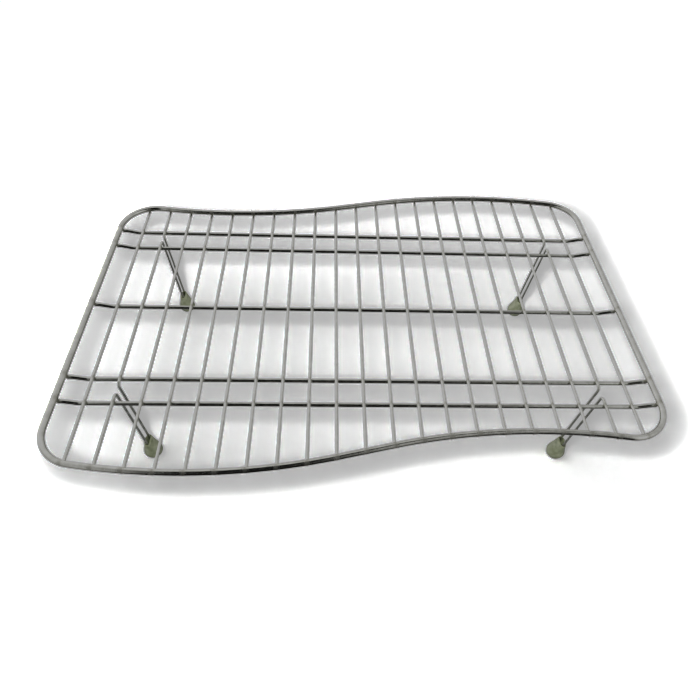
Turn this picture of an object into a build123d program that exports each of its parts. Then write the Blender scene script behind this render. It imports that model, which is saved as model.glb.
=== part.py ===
from build123d import *
import math
import os

# Wire cooling rack. Millimetres, +X along the rack's length, +Y to the rear,
# +Z up. The origin is on the surface the feet stand on, under the middle of the grid.

# Wire gauges
rim_wire_d = 4.0
long_wire_d = 3.0
cross_wire_d = 2.0
weld_depth = 0.15            # how far two crossing wires sink into each other

# Grid
pitch = 18.0                 # spacing of the cross wires
cross_count = 21
leg_wire_numbers = (2, 20)   # the cross wires that also form the legs
pair_outer_y = 86.5          # outer long wire of each pair
pair_inner_y = 67.0          # inner long wire of each pair
cross_z = 82.0               # height of the cross wires' centre line

# Rim outline, along its centre line
rim_half_length = pitch * (cross_count + 1) / 2
rim_mean_y = 123.6           # distance of the wave's middle from the long axis
wave_angle = 13.0            # slope of the straight run in the middle of the wave
wave_straight = 17.0         # half the length of that run
wave_radius = 416.0
corner_radius = 26.0

# Ends of the wires at the rim
cross_end_past_rim = 0.5     # cross wires end short of the rim's outer side
long_end_rise = 2.0          # long wires step up to touch the rim from below
long_end_inside = 0.8        # their ends stop this far short of the rim's centre line
step_outer_run = 3.5         # level run between the step and the end
step_run = 9.0               # length of the step
step_bend_radius = 8.0

# Hairpin legs
leg_lean = 4.0               # degrees, feet inwards along X
arm_spacing = 6.4
shoulder_radius = 3.0        # bend from the grid down into the leg
leg_foot_gap = 2.6           # from the hairpin's lowest point to the sole, along the leg

# Foot caps, round at the sole and oblong at the mouth
cap_height = 17.0
cap_sole_radius = 5.7
cap_belly_radius = 7.0
cap_belly_height = 3.6       # height of the widest ring
cap_waist_height = 10.5
cap_waist_depth = 5.9        # half the waist's size along the hairpin
cap_waist_width = 4.7        # and across it
cap_mouth_depth = 5.2        # half the mouth's size along the hairpin
cap_mouth_width = 2.9        # and across it
cap_lip = 0.5                # rounding of the mouth's edge
cap_grip = 0.01              # squeeze of the pocket on each side of the wire
cap_pocket_end_play = 0.05
cap_pocket_side_flat = 0.05  # left between the roundings of the pocket's narrow side
cap_overrun = 1.0            # moulded below the sole plane, then cut level; also clears the mouth

# Derived places
leg_reach = cross_z / math.cos(math.radians(leg_lean))
pair_middle_y = (pair_outer_y + pair_inner_y) / 2
rim_z = cross_z + (cross_wire_d + rim_wire_d) / 2 - weld_depth
long_z = cross_z - (cross_wire_d + long_wire_d) / 2 + weld_depth


def wave_start():
    """Where the rear edge's straight middle run ends, on its right half."""
    slope = math.radians(wave_angle)
    return Vector(wave_straight * math.cos(slope), rim_mean_y + wave_straight * math.sin(slope))


def crest_centre():
    """Centre of the large arc that forms the crest at the rear right."""
    slope = math.radians(wave_angle)
    return wave_start() + Vector(math.sin(slope), -math.cos(slope)) * wave_radius


def valley_centre():
    """Centre of the large arc that forms the valley at the rear left."""
    crest = crest_centre()
    return Vector(-crest.X, 2 * rim_mean_y - crest.Y)


def crest_corner_centre():
    """Centre of the rear right corner, which touches the crest arc from inside."""
    crest = crest_centre()
    x = rim_half_length - corner_radius
    rise = math.sqrt((wave_radius - corner_radius) ** 2 - (x - crest.X) ** 2)
    return Vector(x, crest.Y + rise)


def valley_corner_centre():
    """Centre of the rear left corner, which touches the valley arc from outside."""
    valley = valley_centre()
    x = -(rim_half_length - corner_radius)
    fall = math.sqrt((wave_radius + corner_radius) ** 2 - (x - valley.X) ** 2)
    return Vector(x, valley.Y - fall)


def touch_point(arc_centre, corner_centre):
    """Where a corner arc meets the large arc beside it."""
    return arc_centre + (corner_centre - arc_centre).normalized() * wave_radius


def rear_edge_y(x):
    """Height of the rim's rear edge, along +Y, at a place along the rack."""
    crest_end = touch_point(crest_centre(), crest_corner_centre())
    valley_end = touch_point(valley_centre(), valley_corner_centre())
    if abs(x) <= wave_start().X:
        return rim_mean_y + x * math.tan(math.radians(wave_angle))
    if x > crest_end.X:
        centre, radius, sign = crest_corner_centre(), corner_radius, 1
    elif x > 0:
        centre, radius, sign = crest_centre(), wave_radius, 1
    elif x > valley_end.X:
        centre, radius, sign = valley_centre(), wave_radius, -1
    else:
        centre, radius, sign = valley_corner_centre(), corner_radius, 1
    return centre.Y + sign * math.sqrt(radius ** 2 - (x - centre.X) ** 2)


def front_edge_y(x):
    """The front edge is the rear edge turned half a turn about the rack's middle."""
    return -rear_edge_y(-x)


def corner_arc(centre, arc_end, side_point):
    """Quarter-turn corner from the end of a large arc to the straight side."""
    middle = (arc_end + side_point) * 0.5
    top = centre + (middle - centre).normalized() * corner_radius
    return ThreePointArc(arc_end, top, side_point)


def large_arc(centre, start, end):
    """Crest or valley arc between two points on it."""
    middle = (start + end) * 0.5
    return ThreePointArc(start, centre + (middle - centre).normalized() * wave_radius, end)


def half_rim_path():
    """Right half of the outline, from the rear edge's middle to the front edge's middle."""
    rear_middle = Vector(0, rim_mean_y)
    rear_start = wave_start()
    crest_end = touch_point(crest_centre(), crest_corner_centre())
    rear_side = Vector(rim_half_length, crest_corner_centre().Y)
    front_corner = -valley_corner_centre()
    front_side = Vector(rim_half_length, front_corner.Y)
    valley_end = -touch_point(valley_centre(), valley_corner_centre())
    front_start = Vector(rear_start.X, rear_start.Y - 2 * rim_mean_y)
    edges = [
        Line(rear_middle, rear_start),
        large_arc(crest_centre(), rear_start, crest_end),
        corner_arc(crest_corner_centre(), crest_end, rear_side),
        Line(rear_side, front_side),
        corner_arc(front_corner, front_side, valley_end),
        large_arc(-valley_centre(), valley_end, front_start),
        Line(front_start, -rear_middle),
    ]
    return Pos(0, 0, rim_z) * Wire(edges)


def round_wire(path, diameter):
    """A round wire along a path of straight runs and tangent arcs."""
    section = Plane(origin=path @ 0, z_dir=path % 0) * Circle(diameter / 2)
    return sweep(section, path=path)


def make_rim():
    """The heavy wire loop round the grid, butt welded into one ring."""
    half = round_wire(half_rim_path(), rim_wire_d)
    return half + Rot(0, 0, 180) * half


def make_long_wire(y, rim):
    """A lengthwise wire under the cross wires, stepped up at both ends and fitted to the rim."""
    end_x = rim_half_length - long_end_inside
    step_top_x = end_x - step_outer_run
    step_foot_x = step_top_x - step_run
    high_z = long_z + long_end_rise
    points = [
        (-end_x, y, high_z),
        (-step_top_x, y, high_z),
        (-step_foot_x, y, long_z),
        (step_foot_x, y, long_z),
        (step_top_x, y, high_z),
        (end_x, y, high_z),
    ]
    path = FilletPolyline(*points, radius=step_bend_radius)
    return round_wire(path, long_wire_d) - rim


def cross_wire_x(number):
    """Place of a cross wire along the rack, counted from the left."""
    return (number - (cross_count + 1) / 2) * pitch


def make_cross_wire(x, seats):
    """A straight cross wire that ends under the rim, with a shallow weld seat at each crossing."""
    front = front_edge_y(x) - cross_end_past_rim
    rear = rear_edge_y(x) + cross_end_past_rim
    path = Line((x, front, cross_z), (x, rear, cross_z))
    return round_wire(path, cross_wire_d) - seats


def leg_plane(x):
    """Plane of a leg wire: its own X runs along +Y, and its own Y runs up the leaning leg."""
    lean = math.copysign(math.radians(leg_lean), x)
    return Plane(origin=(x, 0, cross_z), x_dir=(0, 1, 0), z_dir=(math.cos(lean), 0, -math.sin(lean)))


def hairpin(middle):
    """One leg in its plane: down, round the hairpin and up, with a shoulder bend each side."""
    near = middle - arm_spacing / 2
    far = middle + arm_spacing / 2
    bend = shoulder_radius
    half_turn = arm_spacing / 2
    bottom = leg_foot_gap + cross_wire_d / 2 - leg_reach
    cut = bend * (1 - math.sqrt(0.5))
    return [
        ThreePointArc((near - bend, 0), (near - cut, -cut), (near, -bend)),
        Line((near, -bend), (near, bottom + half_turn)),
        ThreePointArc((near, bottom + half_turn), (middle, bottom), (far, bottom + half_turn)),
        Line((far, bottom + half_turn), (far, -bend)),
        ThreePointArc((far, -bend), (far + cut, -cut), (far + bend, 0)),
    ]


def make_leg_wire(x, seats):
    """A cross wire that is bent down into two hairpin legs on its way from front to rear."""
    front = front_edge_y(x) - cross_end_past_rim
    rear = rear_edge_y(x) + cross_end_past_rim
    inner_end = pair_middle_y - arm_spacing / 2 - shoulder_radius
    outer_end = pair_middle_y + arm_spacing / 2 + shoulder_radius
    edges = [Line((front, 0), (-outer_end, 0))]
    edges += hairpin(-pair_middle_y)
    edges += [Line((-inner_end, 0), (inner_end, 0))]
    edges += hairpin(pair_middle_y)
    edges += [Line((outer_end, 0), (rear, 0))]
    path = leg_plane(x) * Wire(edges)
    return round_wire(path, cross_wire_d) - seats


def cap_section(height, depth, width):
    """An oval across a cap at one height, with the leg's axis as Y."""
    return Plane(origin=(0, height, 0), x_dir=(1, 0, 0), z_dir=(0, 1, 0)) * Ellipse(depth, width)


def cap_body():
    """The outside of a cap, from below its sole plane to its rounded mouth."""
    sections = [
        cap_section(-cap_overrun, cap_sole_radius, cap_sole_radius),
        cap_section(cap_belly_height, cap_belly_radius, cap_belly_radius),
        cap_section(cap_waist_height, cap_waist_depth, cap_waist_width),
        cap_section(cap_height, cap_mouth_depth, cap_mouth_width),
    ]
    body = loft(sections)
    mouth_edge = body.edges().sort_by(Axis.Y)[-1]
    return fillet(mouth_edge, cap_lip)


def cap_pocket():
    """The blind slot in a cap that takes the hairpin, round at its bottom like the wire."""
    half_width = (arm_spacing + cross_wire_d) / 2 + cap_pocket_end_play
    bottom_centre = leg_foot_gap + cross_wire_d / 2 + arm_spacing / 2
    top = cap_height + cap_overrun
    height = top - bottom_centre
    thickness = cross_wire_d - 2 * cap_grip
    face = Circle(half_width) + Pos(0, height / 2) * Rectangle(2 * half_width, height)
    slab = extrude(Pos(0, bottom_centre) * face, amount=thickness / 2, both=True)
    side_edges = slab.edges().filter_by(Axis.Y)
    return fillet(side_edges, thickness / 2 - cap_pocket_side_flat)


def make_foot_cap(x, y, leg_wire):
    """A moulded cap that grips a leg wire's hairpin, with its sole level on the surface."""
    plane = leg_plane(x)
    sole_plane = Plane(
        origin=plane.from_local_coords((y, -leg_reach, 0)),
        x_dir=plane.x_dir,
        z_dir=plane.z_dir,
    )
    body = sole_plane * (cap_body() - cap_pocket())
    reach = 2 * cap_height
    below = Pos(body.center().X, y, -reach / 2) * Box(reach, reach, reach)
    return body - below - leg_wire


def all_nodes():
    """Every piece of the rack by node name."""
    rim = make_rim()
    nodes = {"rim": rim}
    long_places = {
        "long_wire_front_outer": -pair_outer_y,
        "long_wire_front_inner": -pair_inner_y,
        "long_wire_middle": 0.0,
        "long_wire_rear_inner": pair_inner_y,
        "long_wire_rear_outer": pair_outer_y,
    }
    for name, y in long_places.items():
        nodes[name] = make_long_wire(y, rim)
    seats = list(nodes.values())
    for number in range(1, cross_count + 1):
        if number not in leg_wire_numbers:
            nodes[f"cross_wire_{number:02d}"] = make_cross_wire(cross_wire_x(number), seats)
    for number, side in zip(leg_wire_numbers, ("left", "right")):
        x = cross_wire_x(number)
        leg_wire = make_leg_wire(x, seats)
        nodes[f"leg_wire_{side}"] = leg_wire
        nodes[f"foot_cap_front_{side}"] = make_foot_cap(x, -pair_middle_y, leg_wire)
        nodes[f"foot_cap_rear_{side}"] = make_foot_cap(x, pair_middle_y, leg_wire)
    return nodes


os.makedirs("parts", exist_ok=True)
for node_name, node_shape in all_nodes().items():
    export_step(node_shape, f"parts/{node_name}.step")
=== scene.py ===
import math
import random

import bpy
from mathutils import Matrix, Vector


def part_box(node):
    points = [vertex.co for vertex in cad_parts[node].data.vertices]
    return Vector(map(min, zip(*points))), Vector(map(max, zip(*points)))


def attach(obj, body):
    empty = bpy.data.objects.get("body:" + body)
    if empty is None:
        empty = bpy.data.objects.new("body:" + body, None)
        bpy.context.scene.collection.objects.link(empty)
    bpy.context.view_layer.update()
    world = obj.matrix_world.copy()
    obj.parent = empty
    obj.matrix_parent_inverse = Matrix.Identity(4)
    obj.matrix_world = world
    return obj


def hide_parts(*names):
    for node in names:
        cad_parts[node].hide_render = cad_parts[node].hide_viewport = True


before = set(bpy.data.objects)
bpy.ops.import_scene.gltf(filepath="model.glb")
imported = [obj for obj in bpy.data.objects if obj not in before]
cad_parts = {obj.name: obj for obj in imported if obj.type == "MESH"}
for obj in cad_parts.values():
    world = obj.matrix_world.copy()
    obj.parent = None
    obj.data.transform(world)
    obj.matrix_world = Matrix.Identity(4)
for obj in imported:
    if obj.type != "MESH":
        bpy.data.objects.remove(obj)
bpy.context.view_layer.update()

# Looks of a plated wire cooling rack. Lengths here are in millimetres until a mesh is made.
MM = 0.001

# Shape of the rim's outline, along its centre line
WAVE_ANGLE = math.radians(13.0)
WAVE_STRAIGHT = 17.0
WAVE_RADIUS = 416.0
CORNER_RADIUS = 26.0
RIM_MEAN_Y = 123.6

# Bends in the other wires
LEG_LEAN = math.radians(4.0)
ARM_SPACING = 6.4
SHOULDER_RADIUS = 3.0
STEP_RUN = 9.0
STEP_OUTER_RUN = 3.5
STEP_BEND_RADIUS = 8.0

# Welds
WELD_SPREAD = 0.85           # how far along a wire a weld's swelling reaches
WELD_CUTOFF = 4.0            # in spreads: further away than this a weld changes nothing
WELD_SEARCH = 5.0            # welds further away than this are not looked at
WELD_SWELL = 0.34            # how far a weld stands out towards the other wire
ELECTRODE_DENT = 0.06        # flat pressed by the electrode on the far side
STAIN_SPREAD = 2.2           # how much further than the swelling the dull plating reaches
BUTT_WELD_BEAD = 0.3         # bead round the rim where its two ends are joined, dressed flush on top
BUTT_WELD_X = 36.0

# Relative sizes of the welds on each wire
CROSS_TO_RIM_WELD = 1.15
LONG_TO_CROSS_WELD = 0.8
LONG_TO_RIM_WELD = 1.3
RIM_TO_CROSS_WELD = 0.9
RIM_TO_LONG_WELD = 1.2

# Sheared ends of the wires
END_CHAMFER = 0.22
END_SLANT = 0.12             # most that an end face leans out of square, at its edge

# How finely the wires are meshed: sides of a section and distances along it
RIM_SIDES = 28
LONG_SIDES = 24
CROSS_SIDES = 20
RIM_STEP = 1.5
RIM_CORNER_STEP = 1.2
LONG_STEP = 0.75
LONG_BEND_STEP = 0.5
LEG_STEP = 0.8
LEG_BEND_STEP = 0.3
CROSS_STEP = 6.0
WELD_STEP = 0.3
WELD_STEPPED_REACH = 2.1     # length on each side of a weld that has the fine steps
SMALLEST_STEP = 0.12

# Foot caps: height along the leg, then half the size across the leg and along the hairpin
CAP_SECTIONS = (
    (-1.0, 5.7, 5.7),
    (3.6, 6.95, 6.95),
    (10.5, 4.7, 5.9),
    (16.3, 2.95, 5.2),
)
CAP_HEIGHT = 17.0
CAP_LIP = 0.5
CAP_BEAD = 0.14              # rolled edge that stands out below the mouth
CAP_BEAD_DROP = 1.3          # how far below the mouth it is
CAP_BEAD_SPREAD = 0.55
CAP_SEAM = 0.10              # parting line left by the mould
CAP_SEAM_SPREAD = 0.28
CAP_SIDES = 120
CAP_RINGS = 34               # rings up the side
CAP_LIP_RINGS = 5
POCKET_DEPTH = 12.0
SOLE_EDGE = -0.5             # height of the lowest ring of the side, before the sole is cut level

# Underside of a cap, from its middle outwards: radius and height
SOLE_RINGS = ((0.8, 0.95), (1.3, 0.75), (3.9, 0.75), (4.2, 0.35), (4.5, -0.5), (5.3, -0.6))
# Inside of a cap's mouth: play round the wire, depth below the mouth
POCKET_RINGS = ((0.55, 0.05), (0.35, 0.3), (0.15, 0.8), (0.05, 1.6), (0.03, POCKET_DEPTH))

# Camera, aimed at a point in the plane of the grid
CAMERA_AIM = (-8.36, -41.35, 82.0)
CAMERA_DISTANCE = 389.6
CAMERA_AZIMUTH = math.radians(3.895)
CAMERA_ELEVATION = math.radians(50.371)
CAMERA_ROLL = math.radians(3.634)
CAMERA_LENS = 28.286
SENSOR_WIDTH = 36.0

# Soft boxes and a dark flag on the studio's dome: direction, inner and outer half angle in degrees, strength
SOFT_BOXES = (
    ((-0.76, 0.64, 0.02), 16, 44, 1.00),
    ((-0.45, 0.45, 0.75), 15, 55, 0.30),
    ((0.60, -0.45, 0.65), 8, 30, 0.50),
    ((0.70, 0.60, -0.35), 18, 48, -0.20),
)
# The dark side of the room, behind the camera: where it is centred, how far it reaches, how narrow it is
DARK_SIDE = (0.0, -0.87, 0.50)
DARK_REACH = (0.08, 0.42)
DARK_WIDTH = (0.20, 0.52)
DARK_DEPTH = 1.2

# The rest of the dome: how high in the view it changes, and how bright it is below and above that
DOME_HEIGHTS = (-0.7, 0.35)
DOME_LEVELS = (0.24, 0.72)
DARKEST = 0.01

# The white room: what the camera sees of it, and how much it lights dull surfaces
ROOM_SEEN = 1.0
ROOM_FILL = 0.12

# Key light, placed from the camera: right, up and back
KEY_OFFSET = (-34.6, 23.2, 6.4)
KEY_RADIUS = 46.0
KEY_POWER = 29.3
KEY_LOWEST = 0.12            # below this steepness its light is no longer evened out

# Soft light from the upper left
WINDOW_DIRECTION = (0.42, -0.14, -0.90)
WINDOW_SPREAD = math.radians(34)
WINDOW_POWER = 1.05

# Floor, in metres
FLOOR_HALF = 4.0
FLOOR_Z = -0.00002
FLOOR_COLOR = (0.93, 0.93, 0.93)

# Tone curve over all three colours, between black and white
TONE_POINTS = ((0.40, 0.33), (0.68, 0.40), (0.79, 0.46), (0.86, 0.55), (0.93, 0.72))
COMBINED_CURVE = 3


# ---------------------------------------------------------------- what the frame says

def box_mm(node):
    """Lowest and highest corner of a CAD node, in millimetres."""
    low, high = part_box(node)
    return Vector(low) / MM, Vector(high) / MM


rim_low, rim_high = box_mm("rim")
RIM_RADIUS = (rim_high.z - rim_low.z) / 2
RIM_Z = (rim_high.z + rim_low.z) / 2
RIM_HALF_LENGTH = rim_high.x - RIM_RADIUS

CROSS_NODES = sorted(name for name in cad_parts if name.startswith("cross_wire_"))
LONG_NODES = sorted(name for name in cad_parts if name.startswith("long_wire_"))
LEG_NODES = ("leg_wire_left", "leg_wire_right")
CAP_NODES = sorted(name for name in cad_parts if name.startswith("foot_cap_"))

cross_low, cross_high = box_mm(CROSS_NODES[0])
CROSS_RADIUS = (cross_high.x - cross_low.x) / 2
CROSS_Z = (cross_high.z + cross_low.z) / 2
long_low, long_high = box_mm(LONG_NODES[0])
LONG_RADIUS = (long_high.y - long_low.y) / 2
LONG_Z = long_low.z + LONG_RADIUS
LONG_END_Z = long_high.z - LONG_RADIUS


def middle_of(node, axis):
    low, high = box_mm(node)
    return (low[axis] + high[axis]) / 2


LONG_PLACES = [middle_of(name, 1) for name in LONG_NODES]
CROSS_PLACES = [middle_of(name, 0) for name in CROSS_NODES]
PITCH = CROSS_PLACES[2] - CROSS_PLACES[1]
LEG_PLACE = CROSS_PLACES[-1] - PITCH
ALL_CROSS_PLACES = CROSS_PLACES + [-LEG_PLACE, LEG_PLACE]
PAIR_Y = abs(middle_of(CAP_NODES[0], 1))


# ---------------------------------------------------------------- the rim's outline

def crest_centre():
    start = Vector((WAVE_STRAIGHT * math.cos(WAVE_ANGLE), RIM_MEAN_Y + WAVE_STRAIGHT * math.sin(WAVE_ANGLE)))
    return start + Vector((math.sin(WAVE_ANGLE), -math.cos(WAVE_ANGLE))) * WAVE_RADIUS


CREST = crest_centre()
VALLEY = Vector((-CREST.x, 2 * RIM_MEAN_Y - CREST.y))
corner_x = RIM_HALF_LENGTH - CORNER_RADIUS
CREST_CORNER = Vector((
    corner_x,
    CREST.y + math.sqrt((WAVE_RADIUS - CORNER_RADIUS) ** 2 - (corner_x - CREST.x) ** 2),
))
VALLEY_CORNER = Vector((
    -corner_x,
    VALLEY.y - math.sqrt((WAVE_RADIUS + CORNER_RADIUS) ** 2 - (corner_x + VALLEY.x) ** 2),
))


def rear_edge_y(x):
    """Where the rim's rear edge crosses a line along the rack's depth."""
    crest_end = CREST + (CREST_CORNER - CREST).normalized() * WAVE_RADIUS
    valley_end = VALLEY + (VALLEY_CORNER - VALLEY).normalized() * WAVE_RADIUS
    if abs(x) <= WAVE_STRAIGHT * math.cos(WAVE_ANGLE):
        return RIM_MEAN_Y + x * math.tan(WAVE_ANGLE)
    if x > crest_end.x:
        centre, radius, sign = CREST_CORNER, CORNER_RADIUS, 1
    elif x > 0:
        centre, radius, sign = CREST, WAVE_RADIUS, 1
    elif x > valley_end.x:
        centre, radius, sign = VALLEY, WAVE_RADIUS, -1
    else:
        centre, radius, sign = VALLEY_CORNER, CORNER_RADIUS, 1
    return centre.y + sign * math.sqrt(radius ** 2 - (x - centre.x) ** 2)


def arc_points(centre, start, end, longest):
    """Points along an arc from start to end, the short way round, without the last one."""
    radius = (start - centre).length
    first = math.atan2(start.y - centre.y, start.x - centre.x)
    turn = (math.atan2(end.y - centre.y, end.x - centre.x) - first + math.pi) % (2 * math.pi) - math.pi
    count = max(2, math.ceil(abs(turn) * radius / longest))
    angles = [first + turn * i / count for i in range(count)]
    return [centre + Vector((math.cos(a), math.sin(a))) * radius for a in angles]


def line_points(start, end, longest):
    """Points along a straight run, without the last one."""
    count = max(1, math.ceil((end - start).length / longest))
    return [start.lerp(end, i / count) for i in range(count)]


def half_rim_points():
    """Right half of the outline, from the rear edge's middle to the front edge's middle."""
    rear_start = CREST - Vector((math.sin(WAVE_ANGLE), -math.cos(WAVE_ANGLE))) * WAVE_RADIUS
    crest_end = CREST + (CREST_CORNER - CREST).normalized() * WAVE_RADIUS
    rear_side = Vector((RIM_HALF_LENGTH, CREST_CORNER.y))
    front_side = Vector((RIM_HALF_LENGTH, -VALLEY_CORNER.y))
    valley_end = -(VALLEY + (VALLEY_CORNER - VALLEY).normalized() * WAVE_RADIUS)
    front_start = rear_start - Vector((0, 2 * RIM_MEAN_Y))
    points = line_points(Vector((0, RIM_MEAN_Y)), rear_start, RIM_STEP)
    points += arc_points(CREST, rear_start, crest_end, RIM_STEP)
    points += arc_points(CREST_CORNER, crest_end, rear_side, RIM_CORNER_STEP)
    points += line_points(rear_side, front_side, RIM_STEP)
    points += arc_points(-VALLEY_CORNER, front_side, valley_end, RIM_CORNER_STEP)
    points += arc_points(-VALLEY, valley_end, front_start, RIM_STEP)
    points += line_points(front_start, Vector((0, -RIM_MEAN_Y)), RIM_STEP)
    return points


# ---------------------------------------------------------------- wires as meshes

class Weld:
    """A weld on a wire: where it is, which way the other wire lies, and how strong it shows."""

    def __init__(self, place, towards, size=1.0, all_round=False):
        self.place = Vector(place)
        self.towards = Vector(towards).normalized()
        self.size = size
        self.all_round = all_round


def surface_radius(point, outward, radius, welds):
    """Radius of the wire's surface in one direction, with the swelling of each weld near by."""
    for weld in welds:
        gap = (point - weld.place).length
        if gap > WELD_CUTOFF * WELD_SPREAD * weld.size:
            continue
        near = math.exp(-(gap / (WELD_SPREAD * weld.size)) ** 2)
        facing = outward.dot(weld.towards)
        if weld.all_round:
            radius += BUTT_WELD_BEAD * near * (1 - max(facing, 0.0))
        elif facing > 0:
            radius += WELD_SWELL * weld.size * near * facing ** 1.5
        else:
            radius -= ELECTRODE_DENT * weld.size * near * facing ** 2
    return radius


def weld_strength(point, welds):
    """From 0 on plain wire to 1 at a weld."""
    best = 0.0
    for weld in welds:
        gap = (point - weld.place).length
        best = max(best, math.exp(-(gap / (STAIN_SPREAD * WELD_SPREAD * weld.size)) ** 2))
    return best


def nearby(welds, point, reach):
    return [weld for weld in welds if (weld.place - point).length < reach]


def tube(name, centres, normal, radius, sides, welds=(), closed=False, slant=(0.0, 0.0)):
    """A round wire along points in a plane with that normal, as one closed mesh."""
    normal = Vector(normal).normalized()
    count = len(centres)
    verts, coords, strengths, faces = [], [], [], []
    along = 0.0
    for i, centre in enumerate(centres):
        before = centres[i - 1] if closed or i > 0 else centre
        after = centres[(i + 1) % count] if closed or i < count - 1 else centre
        tangent = (after - before).normalized()
        side = tangent.cross(normal).normalized()
        if i > 0:
            along += (centre - centres[i - 1]).length
        close = nearby(welds, centre, WELD_SEARCH)
        strength = weld_strength(centre, close)
        end = not closed and i in (0, count - 1)
        for k in range(sides):
            angle = 2 * math.pi * k / sides
            outward = side * math.cos(angle) + normal * math.sin(angle)
            reach = surface_radius(centre, outward, radius, close)
            shift = Vector((0, 0, 0))
            if end:
                reach -= END_CHAMFER
                # The ring's number also turns the slant, so that the two ends lean different ways
                shift = tangent * slant[0 if i == 0 else 1] * math.cos(angle - i)
            verts.append((centre + outward * reach + shift) * MM)
            coords.append((radius * math.cos(angle), radius * math.sin(angle), along))
            strengths.append(strength)
    rings = count if closed else count - 1
    for i in range(rings):
        a, b = i * sides, ((i + 1) % count) * sides
        for k in range(sides):
            n = (k + 1) % sides
            faces.append((a + k, b + k, b + n, a + n))
    if not closed:
        for ring, order in ((0, 1), (count - 1, -1)):
            first = ring * sides
            middle = sum((verts[first + k] for k in range(sides)), Vector()) / sides
            verts.append(middle)
            coords.append((0.0, 0.0, coords[first][2]))
            strengths.append(strengths[first])
            tip = len(verts) - 1
            for k in range(sides):
                n = (k + 1) % sides
                faces.append((first + k, first + n, tip)[::order])
    return make_piece(name, verts, faces, coords, strengths, closed, count, sides)


def make_piece(name, verts, faces, coords, strengths, closed, count, sides):
    """Mesh object with the wire's own coordinates and its weld strength as attributes."""
    mesh = bpy.data.meshes.new(name)
    mesh.from_pydata(verts, [], faces)
    mesh.polygons.foreach_set("use_smooth", [True] * len(mesh.polygons))
    place = mesh.attributes.new("wire_place", "FLOAT_VECTOR", "POINT")
    place.data.foreach_set("vector", [value for coord in coords for value in coord])
    weld = mesh.attributes.new("weld", "FLOAT", "POINT")
    weld.data.foreach_set("value", strengths)
    if not closed:
        sharpen_ends(mesh, count, sides)
    mesh.validate()
    piece = bpy.data.objects.new(name, mesh)
    bpy.context.scene.collection.objects.link(piece)
    return piece


def sharpen_ends(mesh, count, sides):
    """The edges of a wire's sheared end faces stay sharp."""
    last = (count - 1) * sides
    for edge in mesh.edges:
        a, b = edge.vertices
        if (a < sides and b < sides) or (last <= a < last + sides and last <= b < last + sides):
            edge.use_edge_sharp = True


def stations(length, welds_at, plain_step):
    """Distances along a straight wire: close together at welds and ends, far apart between."""
    places = {0.0, END_CHAMFER, length - END_CHAMFER, length}
    steps = max(1, math.ceil(length / plain_step))
    for i in range(1, steps):
        places.add(length * i / steps)
    for centre in welds_at:
        half = round(WELD_STEPPED_REACH / WELD_STEP)
        for i in range(-half, half + 1):
            places.add(centre + i * WELD_STEP)
    ordered = [0.0]
    for place in sorted(p for p in places if 0 <= p <= length):
        if place - ordered[-1] > SMALLEST_STEP:
            ordered.append(place)
    if length - ordered[-1] > 1e-6:
        ordered.append(length)
    return ordered


def cross_wire_welds(x):
    """Welds of a cross wire at x: down to the lengthwise wires and up to the rim."""
    welds = [Weld((x, y, CROSS_Z), (0, 0, -1)) for y in LONG_PLACES]
    for y in (-rear_edge_y(-x), rear_edge_y(x)):
        welds.append(Weld((x, y, CROSS_Z), (0, 0, 1), CROSS_TO_RIM_WELD))
    return welds


def make_cross_wire(node, rng):
    x = middle_of(node, 0)
    low, high = box_mm(node)
    welds = cross_wire_welds(x)
    length = high.y - low.y
    welds_at = [weld.place.y - low.y for weld in welds]
    centres = [Vector((x, low.y + s, CROSS_Z)) for s in stations(length, welds_at, CROSS_STEP)]
    slant = (rng.uniform(-END_SLANT, END_SLANT), rng.uniform(-END_SLANT, END_SLANT))
    return tube(f"fine_{node}", centres, (0, 0, 1), CROSS_RADIUS, CROSS_SIDES, welds, slant=slant)


def rounded_corner(before, corner, after, radius, longest):
    """Arc points that replace a corner between two straight runs."""
    into = (corner - before).normalized()
    out = (after - corner).normalized()
    turn = into.angle(out)
    cut = radius * math.tan(turn / 2)
    start = corner - into * cut
    end = corner + out * cut
    inward = (out - into).normalized()
    centre = corner + inward * (radius / math.cos(turn / 2))
    count = max(3, math.ceil(turn * radius / longest))
    points = []
    axis = into.cross(out)
    for i in range(count + 1):
        points.append(centre + Matrix.Rotation(turn * i / count, 3, axis) @ (start - centre))
    return points, start, end


def bent_run(corners, radii, longest_straight, longest_arc):
    """Points along straight runs with rounded corners."""
    points = []
    cursor = corners[0]
    for i in range(1, len(corners) - 1):
        before, corner, after = corners[i - 1:i + 2]
        arc, start, end = rounded_corner(before, corner, after, radii[i - 1], longest_arc)
        if (start - cursor).length > 1e-4:
            points += line_points(cursor, start, longest_straight)
        points += arc[:-1]
        cursor = end
    points += line_points(cursor, corners[-1], longest_straight)
    points.append(corners[-1])
    return points


def make_long_wire(node):
    y = middle_of(node, 1)
    low, high = box_mm(node)
    end_x = high.x
    top_x = end_x - STEP_OUTER_RUN
    foot_x = top_x - STEP_RUN
    corners = [
        Vector((-end_x, y, LONG_END_Z)),
        Vector((-top_x, y, LONG_END_Z)),
        Vector((-foot_x, y, LONG_Z)),
        Vector((foot_x, y, LONG_Z)),
        Vector((top_x, y, LONG_END_Z)),
        Vector((end_x, y, LONG_END_Z)),
    ]
    welds = [Weld((x, y, LONG_Z), (0, 0, 1), LONG_TO_CROSS_WELD) for x in ALL_CROSS_PLACES]
    for sign in (-1, 1):
        welds.append(Weld((sign * end_x, y, LONG_END_Z), (sign * 0.3, 0, 1), LONG_TO_RIM_WELD))
    centres = bent_run(corners, [STEP_BEND_RADIUS] * 4, LONG_STEP, LONG_BEND_STEP)
    return tube(f"fine_{node}", centres, (0, 1, 0), LONG_RADIUS, LONG_SIDES, welds)


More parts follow.
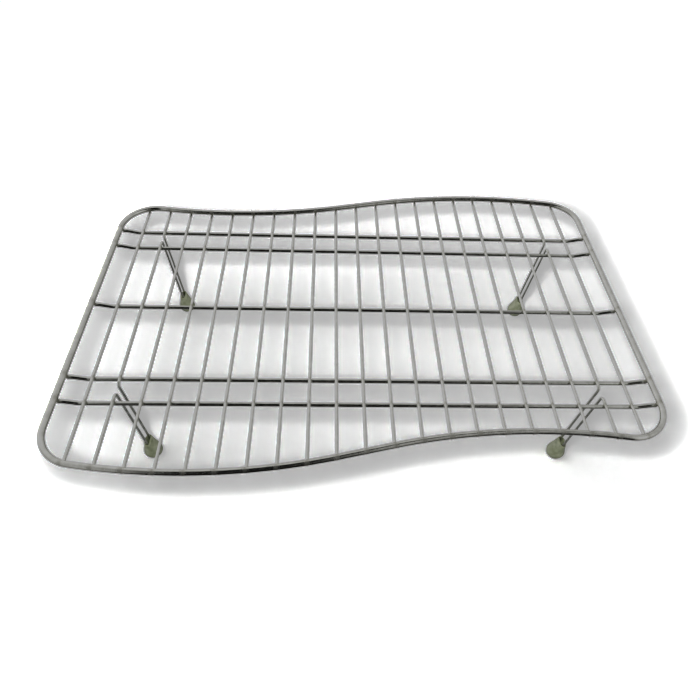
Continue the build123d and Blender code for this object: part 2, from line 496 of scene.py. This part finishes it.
def make_rim():
    half = half_rim_points()
    outline = half + [-point for point in half]
    centres = [Vector((point.x, point.y, RIM_Z)) for point in outline]
    welds = []
    for x in ALL_CROSS_PLACES:
        for y in (rear_edge_y(x), -rear_edge_y(-x)):
            welds.append(Weld((x, y, RIM_Z), (0, 0, -1), RIM_TO_CROSS_WELD))
    for y in LONG_PLACES:
        for sign in (-1, 1):
            welds.append(Weld((sign * RIM_HALF_LENGTH, y, RIM_Z), (-sign, 0, -1), RIM_TO_LONG_WELD))
    joint = (BUTT_WELD_X, rear_edge_y(BUTT_WELD_X), RIM_Z)
    welds.append(Weld(joint, (0, 0, 1), all_round=True))
    return tube("fine_rim", centres, (0, 0, 1), RIM_RADIUS, RIM_SIDES, welds, closed=True)


def make_leg_wire(node):
    side = -1 if node.endswith("left") else 1
    x = side * LEG_PLACE
    low, high = box_mm(node)
    up = Vector((side * math.sin(LEG_LEAN), 0, math.cos(LEG_LEAN)))
    normal = Vector((math.cos(LEG_LEAN), 0, -side * math.sin(LEG_LEAN)))
    drop = (CROSS_Z - CROSS_RADIUS - low.z) / math.cos(LEG_LEAN)

    def place(y, height):
        return Vector((x, y, CROSS_Z)) + up * height

    corners = [place(low.y, 0)]
    for middle in (-PAIR_Y, PAIR_Y):
        near = middle - ARM_SPACING / 2
        far = middle + ARM_SPACING / 2
        corners += [place(near, 0), place(near, -drop), place(far, -drop), place(far, 0)]
    corners.append(place(high.y, 0))
    half_turn = ARM_SPACING / 2 - 1e-4      # a hair less, so that the two bends of a hairpin don't overlap
    radii = [SHOULDER_RADIUS, half_turn, half_turn, SHOULDER_RADIUS] * 2
    welds = cross_wire_welds(x)
    centres = bent_run(corners, radii, LEG_STEP, LEG_BEND_STEP)
    return tube(f"fine_{node}", centres, normal, CROSS_RADIUS, CROSS_SIDES, welds)


# ---------------------------------------------------------------- foot caps

def cap_size(height):
    """Half sizes of the cap's outside at a height, on a smooth curve through its sections."""
    sections = CAP_SECTIONS
    i = max(k for k in range(len(sections) - 1) if k == 0 or sections[k][0] <= height)
    low, high = sections[i], sections[i + 1]
    span = high[0] - low[0]
    t = (height - low[0]) / span
    sizes = []
    for axis in (1, 2):
        slopes = []
        for k in (i, i + 1):
            before = sections[max(k - 1, 0)]
            after = sections[min(k + 1, len(sections) - 1)]
            slopes.append((after[axis] - before[axis]) / (after[0] - before[0]) * span)
        sizes.append(
            low[axis] * (2 * t ** 3 - 3 * t ** 2 + 1)
            + slopes[0] * (t ** 3 - 2 * t ** 2 + t)
            + high[axis] * (3 * t ** 2 - 2 * t ** 3)
            + slopes[1] * (t ** 3 - t ** 2)
        )
    return sizes


def cap_rings():
    """Rings of the cap as a shape, two half sizes and a height, from the sole to the pocket's floor."""
    rings = [("oval", radius, radius, height) for radius, height in SOLE_RINGS]
    for i in range(CAP_RINGS + 1):
        height = SOLE_EDGE + (CAP_HEIGHT - CAP_LIP - SOLE_EDGE) * i / CAP_RINGS
        width, depth = cap_size(height)
        bead = CAP_BEAD * math.exp(-((height - CAP_HEIGHT + CAP_BEAD_DROP) / CAP_BEAD_SPREAD) ** 2)
        rings.append(("oval", width + bead, depth + bead, height))
    width, depth = cap_size(CAP_HEIGHT - CAP_LIP)
    for i in range(1, CAP_LIP_RINGS + 1):
        angle = math.pi / 2 * i / CAP_LIP_RINGS
        inset = CAP_LIP * (1 - math.cos(angle))
        rings.append(("oval", width - inset, depth - inset, CAP_HEIGHT - CAP_LIP * (1 - math.sin(angle))))
    for play, below in POCKET_RINGS:
        rings.append(("slot", CROSS_RADIUS + play, ARM_SPACING / 2, CAP_HEIGHT - below))
    return rings


def ring_point(shape, width, depth, angle):
    """Place on a ring, across the leg and along the hairpin."""
    if shape == "oval":
        seam = CAP_SEAM * math.exp(-(math.sin(angle) * width / CAP_SEAM_SPREAD) ** 2)
        return (width + seam) * math.cos(angle), depth * math.sin(angle)
    along = (depth + width) * math.sin(angle)
    past = max(0.0, abs(along) - depth)
    return math.copysign(math.sqrt(max(width ** 2 - past ** 2, 0.0)), math.cos(angle)), along


def make_foot_cap(node):
    """A moulded foot: round at the sole, oblong at the mouth, with a pocket for the hairpin."""
    side = -1 if node.endswith("left") else 1
    up = Vector((side * math.sin(LEG_LEAN), 0, math.cos(LEG_LEAN)))
    across = Vector((math.cos(LEG_LEAN), 0, -side * math.sin(LEG_LEAN)))
    foot_x = side * (LEG_PLACE - CROSS_Z * math.tan(LEG_LEAN))
    base = Vector((foot_x, math.copysign(PAIR_Y, middle_of(node, 1)), 0))
    verts, faces = [], []
    for shape, width, depth, height in cap_rings():
        for k in range(CAP_SIDES):
            a, d = ring_point(shape, width, depth, 2 * math.pi * (k + 0.5) / CAP_SIDES)
            point = base + across * a + Vector((0, d, 0)) + up * height
            verts.append(Vector((point.x, point.y, max(point.z, 0.0))) * MM)
    rings = len(verts) // CAP_SIDES
    for i in range(rings - 1):
        a, b = i * CAP_SIDES, (i + 1) * CAP_SIDES
        for k in range(CAP_SIDES):
            n = (k + 1) % CAP_SIDES
            faces.append((a + k, a + n, b + n, b + k))
    for first, order in ((0, -1), ((rings - 1) * CAP_SIDES, 1)):
        verts.append(sum((verts[first + k] for k in range(CAP_SIDES)), Vector()) / CAP_SIDES)
        for k in range(CAP_SIDES):
            faces.append((first + k, first + (k + 1) % CAP_SIDES, len(verts) - 1)[::order])
    mesh = bpy.data.meshes.new(f"fine_{node}")
    mesh.from_pydata(verts, [], faces)
    mesh.polygons.foreach_set("use_smooth", [True] * len(mesh.polygons))
    mesh.validate()
    piece = bpy.data.objects.new(f"fine_{node}", mesh)
    bpy.context.scene.collection.objects.link(piece)
    return piece


# ---------------------------------------------------------------- materials

# Plating: pale and dark shade, roughness
RIM_PLATING = ((0.66, 0.66, 0.60), (0.50, 0.50, 0.45), 0.17)
LONG_PLATING = ((0.62, 0.62, 0.57), (0.46, 0.47, 0.42), 0.16)
CROSS_PLATING = ((0.68, 0.68, 0.63), (0.53, 0.53, 0.48), 0.22)
LEG_PLATING = ((0.64, 0.64, 0.58), (0.48, 0.49, 0.44), 0.26)
WELD_STAIN = (0.20, 0.19, 0.15)
DRAW_LINE_STRETCH = 0.035    # how slowly the draw lines change along the wire, against across it
FINE_BUMP = 0.00005          # metres

# Plastic of the caps
PLASTIC_DARK = (0.11, 0.125, 0.07)
PLASTIC_LIGHT = (0.22, 0.24, 0.15)
# Painted shade: the darker colour the plastic is blended into near the sole, and how high that reaches. It
# stands in for the shade where the cap meets the floor.
PLASTIC_SOLE_SHADE = (0.06, 0.068, 0.04)
SOLE_SHADE_HEIGHT = 0.007          # metres above the sole


def new_material(name):
    material = bpy.data.materials.new(name)
    material.use_nodes = True
    nodes = material.node_tree.nodes
    return material, nodes, material.node_tree.links, nodes["Principled BSDF"]


def noise_node(nodes, links, vector, scale, detail):
    node = nodes.new("ShaderNodeTexNoise")
    node.inputs["Scale"].default_value = scale
    node.inputs["Detail"].default_value = detail
    links.new(vector, node.inputs["Vector"])
    return node.outputs["Fac"]


def ramp_node(nodes, links, factor, stops):
    node = nodes.new("ShaderNodeValToRGB")
    ramp = node.color_ramp
    while len(ramp.elements) < len(stops):
        ramp.elements.new(0.5)
    for element, (position, color) in zip(ramp.elements, stops):
        element.position = position
        element.color = (*color, 1.0)
    links.new(factor, node.inputs["Fac"])
    return node.outputs["Color"]


def range_node(nodes, links, value, low, high, out_low, out_high):
    node = nodes.new("ShaderNodeMapRange")
    node.inputs["From Min"].default_value = low
    node.inputs["From Max"].default_value = high
    node.inputs["To Min"].default_value = out_low
    node.inputs["To Max"].default_value = out_high
    links.new(value, node.inputs["Value"])
    return node.outputs["Result"]


def math_node(nodes, links, operation, first, second):
    node = nodes.new("ShaderNodeMath")
    node.operation = operation
    for socket, value in zip(node.inputs, (first, second)):
        if isinstance(value, (int, float)):
            socket.default_value = value
        else:
            links.new(value, socket)
    return node.outputs["Value"]


def mix_color(nodes, links, factor, first, second):
    node = nodes.new("ShaderNodeMix")
    node.data_type = "RGBA"
    for socket, value in zip((node.inputs[0], node.inputs[6], node.inputs[7]), (factor, first, second)):
        if isinstance(value, tuple):
            socket.default_value = (*value, 1.0)
        elif isinstance(value, (int, float)):
            socket.default_value = value
        else:
            links.new(value, socket)
    return node.outputs[2]


def plated_wire(name, light, dark, roughness):
    """Plating over drawn steel wire: fine draw lines, cloudy tone, duller at the welds."""
    material, nodes, links, shader = new_material(name)
    place = nodes.new("ShaderNodeAttribute")
    place.attribute_name = "wire_place"
    weld = nodes.new("ShaderNodeAttribute")
    weld.attribute_name = "weld"
    stretch = nodes.new("ShaderNodeMapping")
    stretch.inputs["Scale"].default_value = (1.0, 1.0, DRAW_LINE_STRETCH)
    links.new(place.outputs["Vector"], stretch.inputs["Vector"])
    lines = noise_node(nodes, links, stretch.outputs["Vector"], 5.5, 5.0)
    clouds = noise_node(nodes, links, place.outputs["Vector"], 0.22, 3.0)
    specks = noise_node(nodes, links, place.outputs["Vector"], 2.6, 2.0)
    tone = ramp_node(nodes, links, clouds, ((0.36, dark), (0.66, light)))
    lined = mix_color(nodes, links, range_node(nodes, links, lines, 0.35, 0.7, 0.0, 0.28), tone, dark)
    stain = range_node(nodes, links, weld.outputs["Fac"], 0.1, 1.0, 0.0, 0.55)
    dull = mix_color(nodes, links, stain, lined, WELD_STAIN)
    links.new(dull, shader.inputs["Base Color"])
    rough = range_node(nodes, links, lines, 0.3, 0.7, roughness - 0.06, roughness + 0.07)
    speckle = range_node(nodes, links, specks, 0.55, 0.8, 0.0, 0.12)
    scorch = range_node(nodes, links, weld.outputs["Fac"], 0.1, 1.0, 0.0, 0.2)
    spotted = math_node(nodes, links, "ADD", rough, speckle)
    worn = math_node(nodes, links, "ADD", spotted, scorch)
    links.new(worn, shader.inputs["Roughness"])
    shader.inputs["Metallic"].default_value = 1.0
    bump = nodes.new("ShaderNodeBump")
    bump.inputs["Strength"].default_value = 0.18
    bump.inputs["Distance"].default_value = FINE_BUMP
    links.new(math_node(nodes, links, "ADD", lines, specks), bump.inputs["Height"])
    links.new(bump.outputs["Normal"], shader.inputs["Normal"])
    return material


def cap_plastic():
    """Soft translucent olive-grey moulding, cloudy inside, with painted shade darkening it towards the sole.
    """
    material, nodes, links, shader = new_material("foot_cap_plastic")
    place = nodes.new("ShaderNodeTexCoord")
    clouds = noise_node(nodes, links, place.outputs["Object"], 260.0, 3.0)
    grain = noise_node(nodes, links, place.outputs["Object"], 2600.0, 2.0)
    tone = ramp_node(nodes, links, clouds, ((0.35, PLASTIC_DARK), (0.68, PLASTIC_LIGHT)))
    split = nodes.new("ShaderNodeSeparateXYZ")
    links.new(place.outputs["Object"], split.inputs["Vector"])
    # Painted shade: the plastic's colour darkens towards the sole, in place of the shade where the cap meets
    # the floor.
    foot = range_node(nodes, links, split.outputs["Z"], 0.0, SOLE_SHADE_HEIGHT, 0.7, 0.0)
    sole_shaded = mix_color(nodes, links, foot, tone, PLASTIC_SOLE_SHADE)
    links.new(sole_shaded, shader.inputs["Base Color"])
    links.new(range_node(nodes, links, grain, 0.3, 0.7, 0.42, 0.58), shader.inputs["Roughness"])
    shader.inputs["Subsurface Weight"].default_value = 0.35
    shader.inputs["Subsurface Radius"].default_value = (1.0, 1.0, 0.6)
    shader.inputs["Subsurface Scale"].default_value = 0.002
    bump = nodes.new("ShaderNodeBump")
    bump.inputs["Strength"].default_value = 0.15
    bump.inputs["Distance"].default_value = FINE_BUMP
    links.new(grain, bump.inputs["Height"])
    links.new(bump.outputs["Normal"], shader.inputs["Normal"])
    return material


# ---------------------------------------------------------------- studio

def direction(azimuth, elevation):
    """Unit vector that looks to the rear at azimuth 0, and down by the elevation."""
    return Vector((
        math.sin(azimuth) * math.cos(elevation),
        math.cos(azimuth) * math.cos(elevation),
        -math.sin(elevation),
    ))


def make_camera():
    data = bpy.data.cameras.new("camera")
    data.lens = CAMERA_LENS
    data.sensor_width = SENSOR_WIDTH
    data.clip_start = 0.01
    data.clip_end = 20.0
    camera = bpy.data.objects.new("camera", data)
    look = direction(CAMERA_AZIMUTH, CAMERA_ELEVATION)
    camera.location = (Vector(CAMERA_AIM) - look * CAMERA_DISTANCE) * MM
    turn = look.to_track_quat("-Z", "Y").to_matrix() @ Matrix.Rotation(CAMERA_ROLL, 3, "Z")
    camera.rotation_euler = turn.to_euler()
    bpy.context.scene.collection.objects.link(camera)
    bpy.context.scene.camera = camera
    return camera


def make_floor():
    """Pale floor, left out of reflections so that the plating mirrors the studio alone."""
    mesh = bpy.data.meshes.new("floor")
    corners = ((-1, -1), (1, -1), (1, 1), (-1, 1))
    mesh.from_pydata([(x * FLOOR_HALF, y * FLOOR_HALF, FLOOR_Z) for x, y in corners], [], [(0, 1, 2, 3)])
    floor = bpy.data.objects.new("floor", mesh)
    bpy.context.scene.collection.objects.link(floor)
    material, _, _, shader = new_material("pale_floor")
    shader.inputs["Base Color"].default_value = (*FLOOR_COLOR, 1.0)
    shader.inputs["Roughness"].default_value = 1.0
    shader.inputs["Specular IOR Level"].default_value = 0.0
    mesh.materials.append(material)
    floor.visible_glossy = False


def make_key_light(camera):
    """Small soft key just above and left of the camera, made even over the whole floor."""
    data = bpy.data.lights.new("key", "POINT")
    data.shadow_soft_size = KEY_RADIUS * MM
    data.use_nodes = True
    nodes, links = data.node_tree.nodes, data.node_tree.links
    emission = nodes["Emission"]
    place = nodes.new("ShaderNodeTexCoord")
    split = nodes.new("ShaderNodeSeparateXYZ")
    links.new(place.outputs["Normal"], split.inputs["Vector"])
    down = math_node(nodes, links, "ABSOLUTE", split.outputs["Z"], 0.0)
    safe = math_node(nodes, links, "MAXIMUM", down, KEY_LOWEST)
    falloff = nodes.new("ShaderNodeLightFalloff")
    falloff.inputs["Strength"].default_value = 1.0
    even = math_node(nodes, links, "DIVIDE", falloff.outputs["Constant"], safe)
    links.new(even, emission.inputs["Strength"])
    data.energy = KEY_POWER
    key = bpy.data.objects.new("key", data)
    turn = camera.rotation_euler.to_matrix()
    key.location = camera.location + turn @ Vector(KEY_OFFSET) * MM
    key.visible_glossy = False
    key.visible_camera = False
    bpy.context.scene.collection.objects.link(key)


def make_window_light():
    """Broad light from the upper left, too soft to draw the wires, that shades the floor by the feet."""
    data = bpy.data.lights.new("window", "SUN")
    data.energy = WINDOW_POWER
    data.angle = WINDOW_SPREAD
    window = bpy.data.objects.new("window", data)
    window.rotation_euler = Vector(WINDOW_DIRECTION).to_track_quat("-Z", "Y").to_euler()
    window.visible_glossy = False
    bpy.context.scene.collection.objects.link(window)


def facing_node(nodes, links, view, towards, start, full, strength):
    """Rises smoothly from nothing to its strength as the view turns towards a direction."""
    node = nodes.new("ShaderNodeVectorMath")
    node.operation = "DOT_PRODUCT"
    node.inputs[1].default_value = Vector(towards).normalized()
    links.new(view, node.inputs[0])
    patch = nodes.new("ShaderNodeMapRange")
    patch.interpolation_type = "SMOOTHSTEP"
    patch.inputs["From Min"].default_value = start
    patch.inputs["From Max"].default_value = full
    patch.inputs["To Max"].default_value = strength
    links.new(node.outputs["Value"], patch.inputs["Value"])
    return patch.outputs["Result"]


def make_world():
    """White room for the floor and background, and a dome with soft boxes and a dark side to reflect."""
    world = bpy.data.worlds.new("studio")
    bpy.context.scene.world = world
    world.use_nodes = True
    nodes, links = world.node_tree.nodes, world.node_tree.links
    nodes.clear()
    view = nodes.new("ShaderNodeTexCoord").outputs["Generated"]
    split = nodes.new("ShaderNodeSeparateXYZ")
    links.new(view, split.inputs["Vector"])
    dome = range_node(nodes, links, split.outputs["Z"], *DOME_HEIGHTS, *DOME_LEVELS)
    for towards, inner, outer, strength in SOFT_BOXES:
        edge, full = (math.cos(math.radians(angle)) for angle in (outer, inner))
        patch = facing_node(nodes, links, view, towards, edge, full, strength)
        dome = math_node(nodes, links, "ADD", dome, patch)
    reach = facing_node(nodes, links, view, DARK_SIDE, *DARK_REACH, DARK_DEPTH)
    sideways = math_node(nodes, links, "ABSOLUTE", split.outputs["X"], 0.0)
    narrow = range_node(nodes, links, sideways, *DARK_WIDTH, 1.0, 0.0)
    shade = math_node(nodes, links, "MULTIPLY", reach, narrow)
    dome = math_node(nodes, links, "SUBTRACT", dome, shade)
    lit = math_node(nodes, links, "MAXIMUM", dome, DARKEST)
    reflected = nodes.new("ShaderNodeBackground")
    links.new(lit, reflected.inputs["Strength"])
    room = nodes.new("ShaderNodeBackground")
    room.inputs["Color"].default_value = (1.0, 1.0, 1.0, 1.0)
    path = nodes.new("ShaderNodeLightPath")
    level = range_node(nodes, links, path.outputs["Is Camera Ray"], 0.0, 1.0, ROOM_FILL, ROOM_SEEN)
    links.new(level, room.inputs["Strength"])
    mix = nodes.new("ShaderNodeMixShader")
    links.new(path.outputs["Is Glossy Ray"], mix.inputs["Fac"])
    links.new(room.outputs["Background"], mix.inputs[1])
    links.new(reflected.outputs["Background"], mix.inputs[2])
    output = nodes.new("ShaderNodeOutputWorld")
    links.new(mix.outputs["Shader"], output.inputs["Surface"])


def set_tone():
    """Plain colours, with the pale shades next to white spread out."""
    settings = bpy.context.scene.view_settings
    settings.view_transform = "Standard"
    settings.use_curve_mapping = True
    mapping = settings.curve_mapping
    curve = mapping.curves[COMBINED_CURVE]
    for place, value in TONE_POINTS:
        curve.points.new(place, value)
    mapping.update()


# ---------------------------------------------------------------- the object

def settle(piece, node, material):
    """Gives a piece its material, hangs it under the root body and hides the CAD node that it stands for."""
    piece.data.materials.append(material)
    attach(piece, "root")
    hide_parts(node)


def build_rack():
    rng = random.Random(7)
    rim_metal = plated_wire("rim_plating", *RIM_PLATING)
    long_metal = plated_wire("long_wire_plating", *LONG_PLATING)
    cross_metal = plated_wire("cross_wire_plating", *CROSS_PLATING)
    leg_metal = plated_wire("leg_wire_plating", *LEG_PLATING)
    plastic = cap_plastic()
    settle(make_rim(), "rim", rim_metal)
    for node in LONG_NODES:
        settle(make_long_wire(node), node, long_metal)
    for node in CROSS_NODES:
        settle(make_cross_wire(node, rng), node, cross_metal)
    for node in LEG_NODES:
        settle(make_leg_wire(node), node, leg_metal)
    for node in CAP_NODES:
        settle(make_foot_cap(node), node, plastic)


camera = make_camera()
make_floor()
make_key_light(camera)
make_window_light()
make_world()
set_tone()
build_rack()
